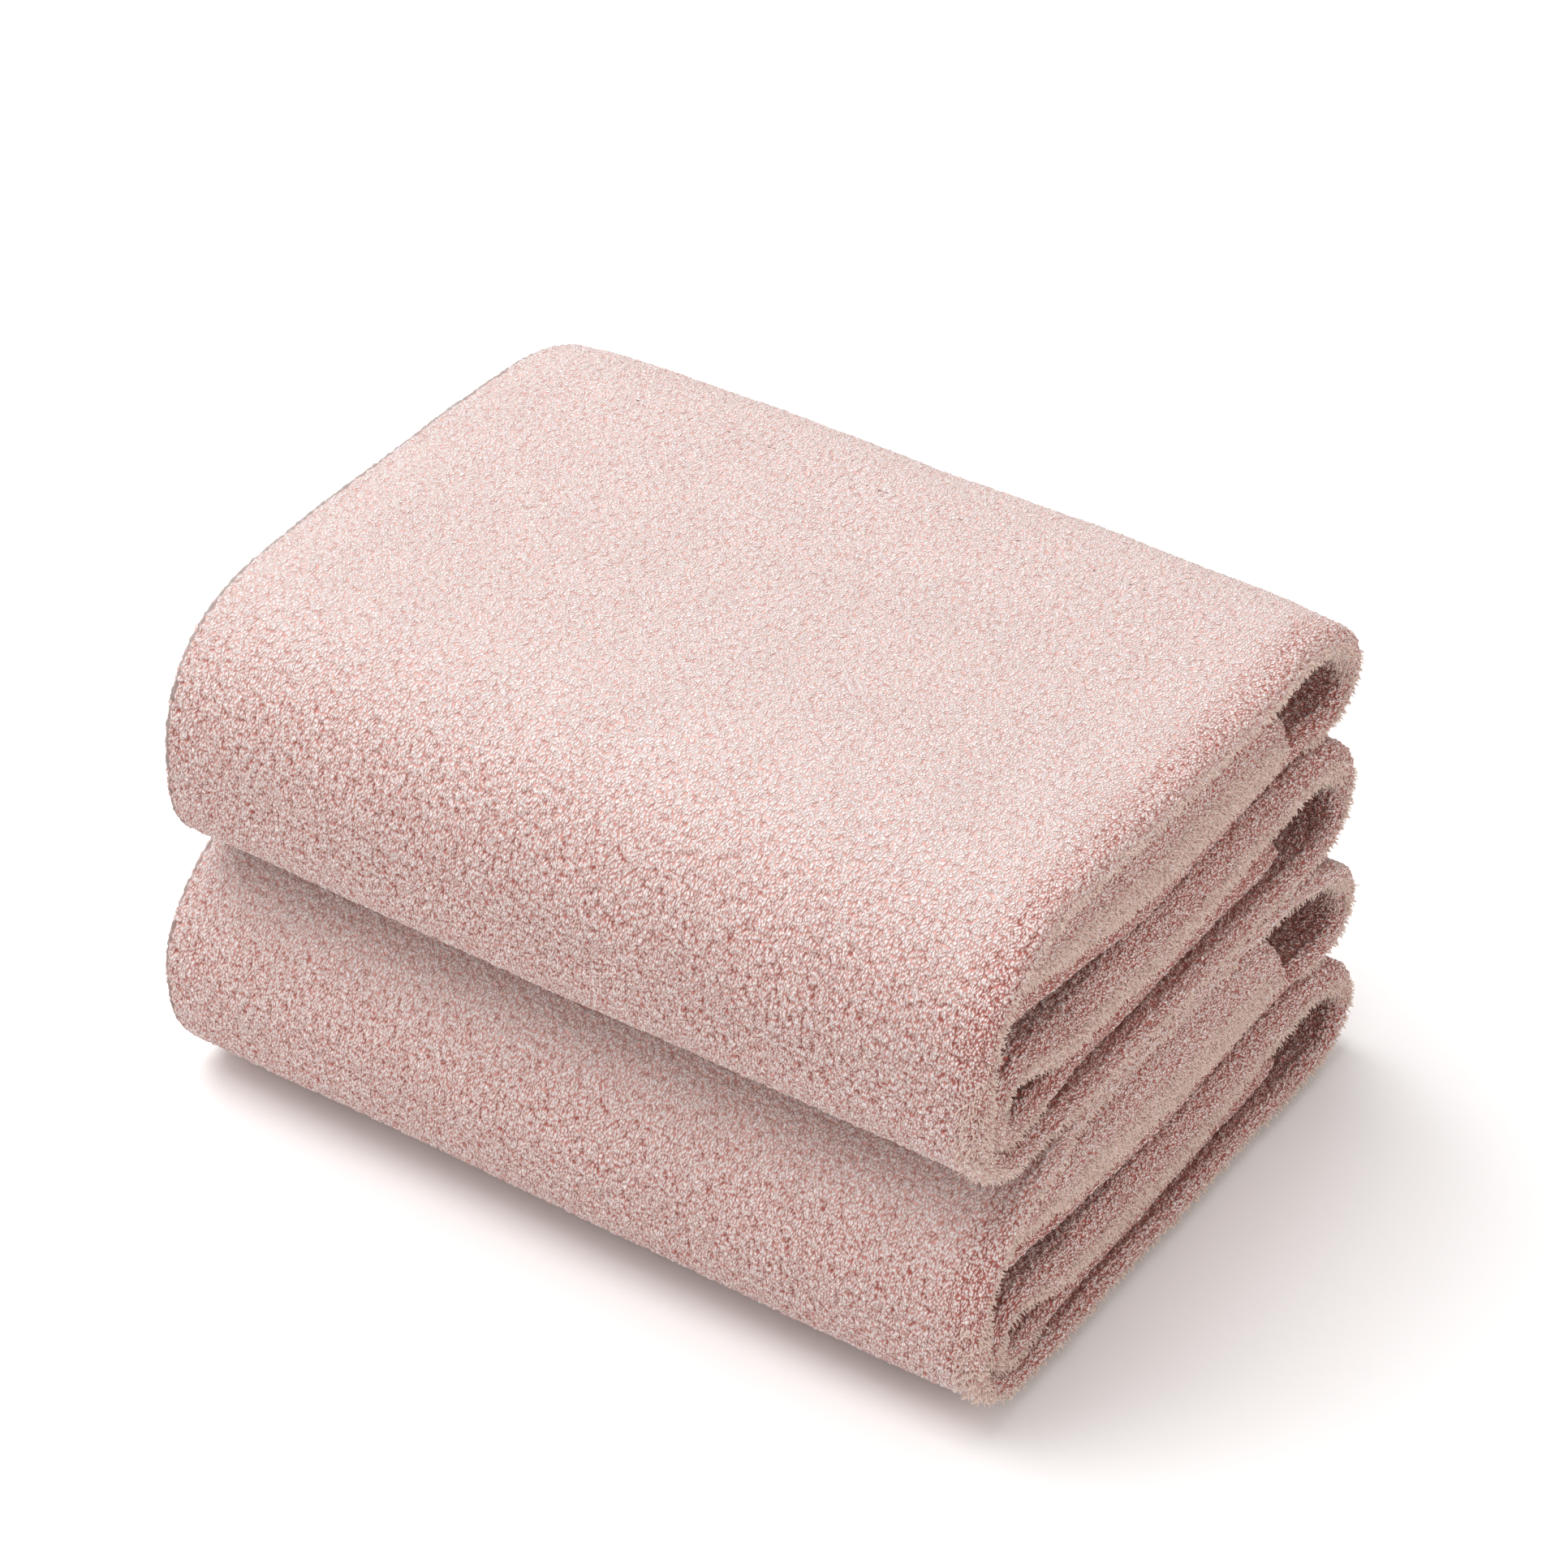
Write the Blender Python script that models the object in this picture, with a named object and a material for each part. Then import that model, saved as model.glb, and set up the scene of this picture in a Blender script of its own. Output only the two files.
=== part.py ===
"""A set of two plush bath towels, each folded into a rounded block and stacked one on the other.

Each towel is folded once between its selvedges, which leaves a strip of two plies with the
fold at +X. The strip is then folded into six panels. From the top down they are the outer,
end and inner panels of the flap, and then the inner, end and outer panels of the base. The
two outer panels meet in the big roll along the front. The outer and inner panels of each
half meet in a fold along the back, and the inner and end panels in a small fold inside the
front roll. Flap and base part at mid-height, so that the towel opens like a book about the
front edge.

The origin is the centre of the bottom face, +X runs along the folded towel, +Y points to
the back folds and +Z is up. All lengths are in metres.
"""

import math

import bpy

COLLECTION_NAME = "bath_towel_set"

# Driving dimensions
TOWEL_WIDTH = 0.70  # selvedge to selvedge, laid flat
FOLDED_DEPTH = 0.256  # front roll to back folds
LOWER_HEIGHT = 0.096  # the lower towel, pressed by the upper one
UPPER_HEIGHT = 0.110
PANELS = 6
FRONT_ROLL_DEPTH = 0.046  # how far the big front roll reaches back
END_PANEL_SETBACK = 0.049  # free end of the end panel to the back of the towel
HEM_WIDTH = 0.025
GAP = 0.0003  # left between nodes that touch

# Worked out from them
FOLDED_LENGTH = TOWEL_WIDTH / 2
CLEAR = GAP / 2
FRONT_Y = -FOLDED_DEPTH / 2
BACK_Y = FOLDED_DEPTH / 2
FRONT_FOLD_Y = FRONT_Y + FRONT_ROLL_DEPTH
END_NOSE_Y = BACK_Y - END_PANEL_SETBACK
HEM_Y = END_NOSE_Y - HEM_WIDTH

# Arc steps that keep each outline smooth at its own radius
ROLL_STEPS = 10
BACK_FOLD_STEPS = 14
SMALL_FOLD_STEPS = 10

# Linear colours of the dyed pile
OUTER_PINK = (0.74, 0.52, 0.50)
INNER_PINK = (0.62, 0.39, 0.37)
HEM_PINK = (0.66, 0.47, 0.43)
PILE_ROUGHNESS = 0.95


def clear_scene():
    for old in list(bpy.data.objects):
        bpy.data.objects.remove(old)


def pile_material(name, colour):
    material = bpy.data.materials.new(name)
    material.use_nodes = True
    shader = material.node_tree.nodes["Principled BSDF"]
    shader.inputs["Base Color"].default_value = (*colour, 1.0)
    shader.inputs["Roughness"].default_value = PILE_ROUGHNESS
    shader.inputs["Metallic"].default_value = 0.0
    return material


def arc(centre, radii, start_deg, end_deg, steps):
    """Points (y, z) on an ellipse, from one angle to another."""
    points = []
    for step in range(steps + 1):
        angle = math.radians(start_deg + (end_deg - start_deg) * step / steps)
        y = centre[0] + radii[0] * math.cos(angle)
        z = centre[1] + radii[1] * math.sin(angle)
        points.append((y, z))
    return points


class FoldedTowel:
    """The outlines (y, z) of one folded towel's base, all worked out from its height."""

    def __init__(self, name, base_z, height):
        self.name = name
        self.base_z = base_z
        self.height = height
        self.half_height = height / 2
        self.panel = height / PANELS  # thickness of one panel, which is two plies
        self.back_fold_y = BACK_Y - self.half_height / 2

    def outer_panel(self):
        """The bottom panel of the base with the lower half of the front roll."""
        top = self.half_height - CLEAR
        centre = (FRONT_FOLD_Y, top)
        inner_radii = (FRONT_ROLL_DEPTH - self.panel, top - self.panel + CLEAR)
        roll_outside = arc(centre, (FRONT_ROLL_DEPTH, top), 180, 270, ROLL_STEPS)
        roll_inside = arc(centre, inner_radii, 270, 180, ROLL_STEPS)
        back = [
            (self.back_fold_y - CLEAR, 0.0),
            (self.back_fold_y - CLEAR, self.panel - CLEAR),
        ]
        return roll_outside + back + roll_inside

    def back_fold(self):
        """The tube-like fold that joins the outer panel to the inner panel."""
        centre = (self.back_fold_y + CLEAR, self.half_height / 2)
        outer_radius = self.half_height / 2 - CLEAR
        inner_radius = self.half_height / 2 - self.panel
        outside = arc(centre, (outer_radius, outer_radius), -90, 90, BACK_FOLD_STEPS)
        inside = arc(centre, (inner_radius, inner_radius), 90, -90, BACK_FOLD_STEPS)
        return outside + inside

    def slab(self, low_y, high_y, level):
        """A flat panel that fills one level, counted up from the towel's bottom."""
        low_z = level * self.panel + CLEAR
        high_z = (level + 1) * self.panel - CLEAR
        return [(low_y, low_z), (high_y, low_z), (high_y, high_z), (low_y, high_z)]

    def inner_panel(self):
        """The panel next to mid-height, from the inner fold to the back fold."""
        return self.slab(FRONT_FOLD_Y + CLEAR, self.back_fold_y - CLEAR, 2)

    def inner_fold(self):
        """The small fold inside the front roll that joins the inner and end panels."""
        centre = (FRONT_FOLD_Y - CLEAR, 2 * self.panel)
        radius = self.panel - CLEAR
        return arc(centre, (radius, radius), 90, 270, SMALL_FOLD_STEPS)

    def end_panel(self):
        """The last panel of the strip, tucked between the outer and inner panels."""
        return self.slab(FRONT_FOLD_Y + CLEAR, HEM_Y - CLEAR, 1)

    def end_hem(self):
        """The turned and stitched hem that ends the strip, with its rounded nose."""
        radius = self.panel / 2 - CLEAR
        centre = (END_NOSE_Y - radius, 1.5 * self.panel)
        nose = arc(centre, (radius, radius), -90, 90, SMALL_FOLD_STEPS)
        front = [
            (HEM_Y + CLEAR, centre[1] + radius),
            (HEM_Y + CLEAR, centre[1] - radius),
        ]
        return nose + front

    def flipped(self, outline):
        """The same outline in the flap, which mirrors the base about mid-height."""
        return [(y, self.height - z) for y, z in reversed(outline)]


def add_joint_empty(name, location, parent, collection):
    """An empty on a joint's axis, which carries the parts that move with it."""
    empty = bpy.data.objects.new(name, None)
    empty.empty_display_type = "ARROWS"
    empty.empty_display_size = FRONT_ROLL_DEPTH
    empty.parent = parent
    parent_location = world_location(parent)
    empty.location = [a - b for a, b in zip(location, parent_location)]
    collection.objects.link(empty)
    return empty


def world_location(empty):
    """Where an empty is. The joint empties carry no rotation, so their places add up."""
    place = [0.0, 0.0, 0.0]
    while empty is not None:
        place = [a + b for a, b in zip(place, empty.location)]
        empty = empty.parent
    return place


def add_extrusion(name, outline, base_z, material, parent, collection):
    """A (y, z) outline run along X over the whole folded length."""
    curve = bpy.data.curves.new(name, "CURVE")
    curve.dimensions = "2D"
    curve.fill_mode = "BOTH"
    curve.extrude = FOLDED_LENGTH / 2
    spline = curve.splines.new("POLY")
    spline.points.add(len(outline) - 1)
    for point, (y, z) in zip(spline.points, outline):
        point.co = (y, z, 0.0, 1.0)
    spline.use_cyclic_u = True
    curve.materials.append(material)
    solid = bpy.data.objects.new(name, curve)
    solid.parent = parent
    parent_location = world_location(parent)
    solid.location = [a - b for a, b in zip((0.0, 0.0, base_z), parent_location)]
    # local X, Y and Z of the outline become Y, Z and X of the towel
    solid.rotation_euler = (math.pi / 2, 0.0, math.pi / 2)
    collection.objects.link(solid)
    return solid


def add_half(towel, half, parent, collection):
    """The six parts of one half of a towel, all on one body."""
    parts = [
        ("outer_panel", towel.outer_panel(), OUTER_PINK),
        ("back_fold", towel.back_fold(), OUTER_PINK),
        ("inner_panel", towel.inner_panel(), INNER_PINK),
        ("inner_fold", towel.inner_fold(), INNER_PINK),
        ("end_panel", towel.end_panel(), INNER_PINK),
        ("end_hem", towel.end_hem(), HEM_PINK),
    ]
    for part, outline, colour in parts:
        name = f"{towel.name}_{half}_{part}"
        if half == "flap":
            outline = towel.flipped(outline)
        material = pile_material(name, colour)
        add_extrusion(name, outline, towel.base_z, material, parent, collection)


def main():
    clear_scene()
    collection = bpy.data.collections.new(COLLECTION_NAME)
    bpy.context.scene.collection.children.link(collection)
    lower = FoldedTowel("lower", 0.0, LOWER_HEIGHT)
    upper = FoldedTowel("upper", LOWER_HEIGHT + GAP, UPPER_HEIGHT)
    carried_by = None
    for towel in (lower, upper):
        seat_place = (0.0, 0.0, towel.base_z)
        base = add_joint_empty(f"{towel.name}_towel_seat", seat_place, carried_by, collection)
        add_half(towel, "base", base, collection)
        hinge_place = (0.0, FRONT_Y, towel.base_z + towel.half_height)
        hinge = add_joint_empty(f"{towel.name}_fold_axis", hinge_place, base, collection)
        add_half(towel, "flap", hinge, collection)
        carried_by = hinge


main()
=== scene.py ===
"""Looks of the bath towel set: two thick plush towels, folded into blocks and stacked.

Each towel is one cloth. Folded once between its selvedges it is a strip of two plies, closed
by a nose along +X and open at -X. The strip is laid out here as a path in the YZ plane, seen
from the end, and every row of the cloth's mesh is one step of that path. A row is a loop round
both plies: outer face, nose, inner face, one selvedge, between the plies, the other selvedge.

Lengths are in metres. Only the profile's heights, half thicknesses and insets are in mm.
"""

import math

import bpy
import numpy as np
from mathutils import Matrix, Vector


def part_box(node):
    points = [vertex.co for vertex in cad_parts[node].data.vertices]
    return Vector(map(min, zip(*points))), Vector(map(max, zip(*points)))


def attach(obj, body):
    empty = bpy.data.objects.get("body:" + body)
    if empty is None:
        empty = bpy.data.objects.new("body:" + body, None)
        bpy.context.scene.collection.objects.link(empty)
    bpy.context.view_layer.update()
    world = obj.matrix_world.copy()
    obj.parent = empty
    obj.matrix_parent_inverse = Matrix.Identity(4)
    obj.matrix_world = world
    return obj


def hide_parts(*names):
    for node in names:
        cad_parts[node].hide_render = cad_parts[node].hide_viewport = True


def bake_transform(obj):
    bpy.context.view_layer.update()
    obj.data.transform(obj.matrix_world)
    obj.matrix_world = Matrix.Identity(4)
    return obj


MM = 0.001
TINY = 1e-12  # keeps a division away from zero

# One towel in profile, in mm, as high as the upper one stands
PROFILE_HEIGHT = 112.7
RECESS = 8  # how far the thin panels' noses stay behind the outer ones

# The path, laid out finely and rounded before rows are picked from it
PATH_STEP = 0.25 * MM
LENGTH_SAMPLES = 200
ROUNDING = {"y": 3 * MM, "z": 3 * MM, "half": 9 * MM, "inset": 8 * MM}
PRESSED_FADE = 9 * MM  # over which the top's pressed pile fades out

# Mesh spacing along the path, and across the strip
FINE = 0.75 * MM
MEDIUM = 1.2 * MM
COARSE = 3.0 * MM
NOSE_MARGIN = 16 * MM  # stays fine next to the nose
SELVEDGE_MARGIN = 9 * MM  # stays fine next to the selvedges
NOSE_STEPS = 40
EDGE_STEPS = 6
LEVEL = 0.98  # a normal's rise from which cloth counts as lying level

# The stretches of one row's loop, in order
OUTER_FACE, NOSE, INNER_FACE, INNER_EDGE, INNER_SLIT, OUTER_SLIT, OUTER_EDGE = range(7)

# The nose and the selvedges
BULGE_SHARE = 0.3  # a nose bulges by this share of the strip's half thickness
BULGE_ALL = 3 * MM  # and by this much more, so that thick noses are the blunter ones
NOSE_WAVER = 0.8 * MM
PLY_SLIT = 0.25 * MM  # half the slit between the two plies
SELVEDGE_WAVER = 1.6 * MM
SELVEDGE_SKEW = 9 * MM  # the selvedges stop shorter towards the back
SKEW_START = 90 * MM  # from the front

# The panels tucked inside, at mid-length
END_BLUNTNESS = 0.15  # share of its thickness left at the very end of the strip
TUCKED_DEEPER = 40 * MM  # the free ends reach further back
TUCKED_HIGHER = 5 * MM  # and the base's one higher
TUCK_REACH = 85 * MM  # from the free end, over which they do
FOLD_FORWARD = 9 * MM  # the flap's inner fold leans into the front roll
ROLL_REACH = 60 * MM

# How the block has settled
TOP_CROWN = 3 * MM
TOP_WAVES = 0.9 * MM
FRONT_SWELL = 2.5 * MM
SIDE_WAVES = 1.0 * MM
SELVEDGE_DROOP = 2.5 * MM  # the far end, where the plies are open, sinks lower
WAVE_SHARES = (1.0, 0.6, 0.35)

# Pile: short curly tufts that pack side by side
TUFT_PITCH = 2.3 * MM
TUFT_SCATTER = 0.85
TUFT_HEIGHT = 1.3 * MM
TUFT_SUNK = 0.6  # share of that height that lies below the cloth's own surface
TUFT_SHORTEST = 0.75
TUFT_VARIES = 0.5
TUFT_LEAN = 0.4 * MM
TUFT_LENGTHEN = 1.2
TUFT_NARROW = 0.85
TUFT_TURNED = 0.7  # radians from the strip's width
TUFT_TURNS = 2.2  # and how much that differs between tufts
TUFT_REACH = 0.6  # squared distance, in pitches, at which a tuft has fallen to its foot
TUFT_TABLE = 257
TUFT_SEED = 11
TOP_PRESSED_AND_PAINTED_PALE = 0.42  # share of the pile's relief lost on the smoothed-down top; the same share paints the top paler, a painted highlight

# How far the pile stands open, which shows its deeper colour, and the painted light put into that colour:
# painted shade inside the folds, in the recesses and on the noses, and a painted sheen on the noses' lower
# halves
FACE_OPEN = 1.12
# painted shade: the inner faces, inside the folds, are painted deeper
INSIDE_PAINTED_SHADE = 0.7
RECESS_PAINTED_SHADE = 0.4  # painted shade: the recessed panels' colour is deepened
# painted shade: the noses are painted deeper, which shows on their upper halves under the nose above
NOSE_PAINTED_SHADE = 0.35
NOSE_DEEPER = 0.4
NOSE_PAINTED_SHEEN = 0.8  # painted sheen: the noses' downward-facing lower halves are painted paler
NOSE_SHARE = 0.045  # of the strip's width, over which the pile changes towards the nose

# Loose tufts along the noses
FRINGE_LENGTH = (1.4 * MM, 2.5 * MM)
FRINGE_RADIUS = 0.36 * MM
FRINGE_RINGS = ((0.0, 0.8), (0.4, 1.0), (0.75, 0.7))  # place along the tuft, share of its radius
FRINGE_SIDES = 3
FRINGE_ROOT = 0.25  # share of a tuft that sits in the cloth
FRINGE_REACH = 0.012  # how far it runs from the nose, as a share of the strip's width
FRINGE_LOWEST = -0.65  # only where the cloth faces outwards or somewhat down
FRINGE_HIGHEST = 0.15
FRINGE_BEND = 0.9
FRINGE_SAG = 0.35
FRINGE_AREA = 2.5 * MM * MM  # cloth to each tuft
FRINGE_JITTER = 0.2 * MM

# Single pile loops, finer than the tufts they gather into, and their colour
LOOP_PITCH = 0.95 * MM
LOOP_LAY = (1.2, 0.8, 1.0)  # the loops are longer along the cloth than across it
LOOP_HEIGHT = 0.9 * MM
LOOP_SHARE = 0.62  # how much the loops count in the colour, beside the tufts
CURL_LENGTH = 2.5 * MM
CURL_SWING = 1.2 * MM
FIBRE_WIDTH = 0.35 * MM
FIBRE_RELIEF = 0.25  # of a loop's height
PATCH_SIZE = 30 * MM
PATCH_SHADES = (0.95, 1.05)
PILE_ROUGHNESS = (0.85, 1.0)
PILE_SPECULAR = 0.15
SHEEN_ROUGHNESS = 0.4

# Linear colours
DEEP_PINK_AND_PAINTED_SHADE = (0.40, 0.115, 0.095)  # between the tufts, partly the dye deeper in the pile and partly painted shade
MIDDLE_PINK = (0.775, 0.46, 0.415)
TIP_PINK = (0.95, 0.865, 0.855)
# the loose tufts' cream tint partly paints the sheen of lit fibre tips
FRINGE_PINK_AND_PAINTED_SHEEN = (0.80, 0.63, 0.56)
FLOOR_WHITE = (0.98, 0.98, 0.98)
WORLD_WHITE = (1.0, 0.975, 0.955)

# The studio
FLOOR_SIZE = 16.0
FLOOR_DROP = 1.5 * MM  # the floor lies this far under the lower towel's pile
WORLD_STRENGTH = 0.52
LIGHT_AIM = (0, 0, 0.1)


def smooth_step(x, low, high):
    """0 below low, 1 above high and a smooth rise between them."""
    t = np.clip((np.asarray(x, float) - low) / (high - low), 0, 1)
    return t * t * (3 - 2 * t)


def smoothed(values, spacing, width):
    """Values along the path, averaged over about width either side."""
    reach = max(1, int(2.5 * width / spacing))
    offsets = np.arange(-reach, reach + 1) * spacing
    weights = np.exp(-0.5 * (offsets / width) ** 2)
    weights /= weights.sum()
    padded = np.pad(values, reach, mode="edge")
    return np.convolve(padded, weights, mode="valid")


class Towel:
    """Where one towel lies, read from its CAD nodes, and how it is pressed.

    loft: how high its soft top really stands. spread: how much wider than the CAD block it lies.
    cover: half the top panel's thickness, mm. cover_inset: how far its nose stays behind, mm.
    shoulder and heel: how far the back folds' curves reach forward, above and below.
    swell: how far the top rises above its level at the shoulder, mm.
    """

    def __init__(self, name, loft, spread, cover, cover_inset, shoulder, heel, swell):
        self.name = name
        base_low, base_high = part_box(f"{name}_base_outer_panel")
        flap_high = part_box(f"{name}_flap_outer_panel")[1]
        self.bottom = base_low[2]
        self.height = flap_high[2] - base_low[2]
        self.middle = self.bottom + self.height / 2
        self.front = base_low[1]
        self.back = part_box(f"{name}_base_back_fold")[1][1]
        self.half_length = base_high[0]
        self.free_end_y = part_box(f"{name}_base_end_hem")[1][1]
        self.loft = loft
        self.spread = spread
        self.cover = cover
        self.cover_inset = cover_inset
        self.shoulder = shoulder
        self.heel = heel
        self.swell = swell


def straight(start, end, thickness, inset, label):
    """A straight stretch of the strip's path.

    thickness: the strip's half thickness at its start and end. inset: how far the nose stays
    behind the furthest one, mm. label: the piece of cloth that the stretch belongs to.
    """
    return {"kind": "line", "start": start, "end": end, "half": thickness, "inset": inset, "label": label}


def turn(centre, radii, start_deg, end_deg, thickness, inset, label):
    """A fold: part of an ellipse, from one angle to another."""
    return {
        "kind": "arc",
        "centre": centre,
        "radii": radii,
        "angles": (math.radians(start_deg), math.radians(end_deg)),
        "half": thickness,
        "inset": inset,
        "label": label,
    }


def quarter(level_end, tip, start_deg, thickness, inset, label):
    """A quarter of an ellipse between a level end and its upright tip, from start_deg onwards."""
    centre = (level_end[0], tip[1])
    radii = (abs(tip[0] - level_end[0]), abs(level_end[1] - tip[1]))
    return turn(centre, radii, start_deg, start_deg + 90, thickness, inset, label)


def sample(piece, steps):
    """Points (y, z) along one stretch of the path, its end point left out."""
    t = np.linspace(0, 1, steps, endpoint=False)
    if piece["kind"] == "line":
        y = piece["start"][0] + (piece["end"][0] - piece["start"][0]) * t
        z = piece["start"][1] + (piece["end"][1] - piece["start"][1]) * t
    else:
        angle = piece["angles"][0] + (piece["angles"][1] - piece["angles"][0]) * t
        y = piece["centre"][0] + piece["radii"][0] * np.cos(angle)
        z = piece["centre"][1] + piece["radii"][1] * np.sin(angle)
    return y, z, t


def towel_path(towel):
    """The strip's path from the free end in the flap to the free end in the base.

    Heights and half thicknesses are those of the profile, pressed down to the towel's own loft.
    """
    press = towel.loft / (PROFILE_HEIGHT * MM)
    front, back = towel.front, towel.back

    def level(height_mm):
        return height_mm * press * MM

    def half(thickness_mm):
        return thickness_mm * press * MM

    cover_middle = PROFILE_HEIGHT - towel.cover
    top, bottom = level(cover_middle), level(7.8)
    outer, pressed, under = half(towel.cover), half(5.6), half(5.2)
    back_fold, small_fold = half(6.5), half(7)

    # end panel of the flap, a thick wedge, and the fold to the panel below it
    wedge_top, wedge_low = cover_middle - towel.cover + 0.5, 62
    wedge_level = (wedge_top + wedge_low) / 2
    wedge, wedge_blunt, wedge_full = half((wedge_top - wedge_low) / 2), half(12), half(15)
    wedge_nose = (towel.free_end_y - 5 * MM, level(wedge_level - 6))
    wedge_back = (towel.free_end_y - 27 * MM, level(wedge_level))
    wedge_middle = (front + 118 * MM, level(wedge_level))
    wedge_front = (front + 58 * MM, level(wedge_level + 3.5))
    flap_fold = (front + 33 * MM, level(78))
    flap_fold_radii = (6.5 * MM, level(7.4))
    flap_fold_top = (flap_fold[0], flap_fold[1] + flap_fold_radii[1])

    # inner panel of the flap and the upper back fold
    flap_inner = half(4.9)
    flap_inner_front = (flap_fold[0], flap_fold[1] - flap_fold_radii[1])
    flap_inner_middle = (front + 120 * MM, level(57))
    upper_tip = (back - 7 * MM, level(81))
    upper_under = (upper_tip[0] - 22 * MM, level(63))
    upper_over = (upper_tip[0] - towel.shoulder, top + half(towel.swell))

    # outer panels and the front roll, fuller below than above
    top_back = (towel.free_end_y - 60 * MM, top)
    roll_top = (front + 58 * MM, top)
    roll_bottom = (front + 36 * MM, bottom)
    roll_tip_top = (front + pressed, level(56))
    roll_tip_bottom = (front + pressed, level(40))

    # lower back fold and the base's inner panel, which rises into the notch behind
    lower_tip = (back - 2 * MM, level(27))
    lower_under = (lower_tip[0] - towel.heel, bottom)
    lower_over = (lower_tip[0] - 33.5 * MM, level(48))
    notch, base_inner, base_inner_thin = half(9), half(13.7), half(12)
    base_inner_middle = (front + 128 * MM, level(38.4))
    base_inner_front = (front + 62 * MM, level(40))

    # the base's loose inner fold and its end panel
    base_fold = (front + 34 * MM, level(32.5))
    base_fold_radii = (13.8 * MM, level(14))
    base_fold_top = (base_fold[0], base_fold[1] + base_fold_radii[1])
    base_end, base_end_blunt = half(6.1), half(9.5)
    base_end_front = (base_fold[0], base_fold[1] - base_fold_radii[1])
    base_end_middle = (front + 70 * MM, level(18.8))
    base_end_nose = (towel.free_end_y, level(22.5))

    end_in_flap = [
        straight(wedge_nose, wedge_back, (wedge_blunt, wedge), inset=3, label="flap_tuck"),
        straight(wedge_back, wedge_middle, (wedge, wedge), inset=3, label="flap_tuck"),
        straight(wedge_middle, wedge_front, (wedge, wedge_full), inset=3, label="flap_tuck"),
        straight(wedge_front, flap_fold_top, (wedge_full, small_fold), inset=4, label="flap_tuck"),
        turn(flap_fold, flap_fold_radii, 90, 270, (small_fold, small_fold), inset=7, label="flap_tuck"),
        straight(flap_inner_front, flap_inner_middle, (small_fold, flap_inner), RECESS, "flap_tuck"),
        straight(flap_inner_middle, upper_under, (flap_inner, back_fold), RECESS, "flap_tuck"),
    ]
    upper_back_fold = [
        quarter(upper_under, upper_tip, -90, (back_fold, back_fold), inset=4, label="flap_back"),
        quarter(upper_over, upper_tip, 0, (back_fold, outer), inset=2, label="flap_back"),
    ]
    wrap = [
        straight(upper_over, top_back, (outer, outer), towel.cover_inset, "wrap"),
        straight(top_back, roll_top, (outer, outer), towel.cover_inset, "wrap"),
        quarter(roll_top, roll_tip_top, 90, (outer, pressed), inset=1, label="wrap"),
        straight(roll_tip_top, roll_tip_bottom, (pressed, pressed), inset=1, label="wrap"),
        quarter(roll_bottom, roll_tip_bottom, 180, (pressed, under), inset=1.5, label="wrap"),
        straight(roll_bottom, lower_under, (under, under), inset=2, label="wrap"),
    ]
    lower_back_fold = [
        quarter(lower_under, lower_tip, -90, (under, back_fold), inset=2.5, label="base_back"),
        quarter(lower_over, lower_tip, 0, (back_fold, notch), inset=3, label="base_back"),
    ]
    end_in_base = [
        straight(lower_over, base_inner_middle, (notch, base_inner), inset=3.5, label="base_tuck"),
        straight(base_inner_middle, base_inner_front, (base_inner, base_inner_thin), 3.5, "base_tuck"),
        straight(base_inner_front, base_fold_top, (base_inner_thin, back_fold), inset=4, label="base_tuck"),
        turn(base_fold, base_fold_radii, 90, 270, (back_fold, small_fold), inset=5, label="base_tuck"),
        straight(base_end_front, base_end_middle, (small_fold, base_end), inset=7, label="base_tuck"),
        straight(base_end_middle, base_end_nose, (base_end, base_end_blunt), RECESS, "base_tuck"),
    ]
    return end_in_flap + upper_back_fold + wrap + lower_back_fold + end_in_base


def stretch_length(piece):
    y, z, _ = sample(piece, LENGTH_SAMPLES)
    sampled = float(np.hypot(np.diff(y), np.diff(z)).sum())
    return sampled * LENGTH_SAMPLES / (LENGTH_SAMPLES - 1)


def walk(pieces, spacing):
    """The whole path at even spacing, as arrays along its length."""
    parts = {"y": [], "z": [], "half": [], "inset": [], "label": []}
    for piece in pieces:
        steps = max(4, round(stretch_length(piece) / spacing))
        y, z, t = sample(piece, steps)
        parts["y"].append(y)
        parts["z"].append(z)
        parts["half"].append(piece["half"][0] + (piece["half"][1] - piece["half"][0]) * t)
        parts["inset"].append(np.full(steps, piece["inset"] * MM))
        parts["label"].append(np.full(steps, piece["label"], dtype=object))
    line = {key: np.concatenate(value) for key, value in parts.items()}
    for key, width in ROUNDING.items():
        line[key] = smoothed(line[key], spacing, width)
    dy, dz = np.gradient(line["y"]), np.gradient(line["z"])
    step = np.hypot(dy, dz)
    line["s"] = np.concatenate([[0], np.cumsum(np.hypot(np.diff(line["y"]), np.diff(line["z"])))])
    line["ty"], line["tz"] = dy / step, dz / step
    line["ny"], line["nz"] = line["tz"], -line["ty"]
    on_top = smooth_step(line["z"], 0.6 * line["z"].max(), 0.95 * line["z"].max())
    lying_up = smooth_step(line["nz"], 0.1, 1.0) * on_top
    # the smoothed-down top's shallower relief also paints its colour paler: painted highlight
    line["depth"] = 1 - TOP_PRESSED_AND_PAINTED_PALE * smoothed(lying_up, spacing, PRESSED_FADE)
    line["recessed"] = smooth_step(line["inset"], 6 * MM, RECESS * MM)
    return line


def thinned(line, keep):
    """Every array of the path at the rows that keep picks."""
    return {key: value[keep] for key, value in line.items()}


def rows_at(line, spacing_at):
    """Indices of rows so that their distance follows spacing_at, an array along the path."""
    rows, last = [0], line["s"][0]
    for i in range(1, len(line["s"]) - 1):
        if line["s"][i] - last >= spacing_at[i] * 0.999:
            rows.append(i)
            last = line["s"][i]
    rows.append(len(line["s"]) - 1)
    return np.array(rows)


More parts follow.
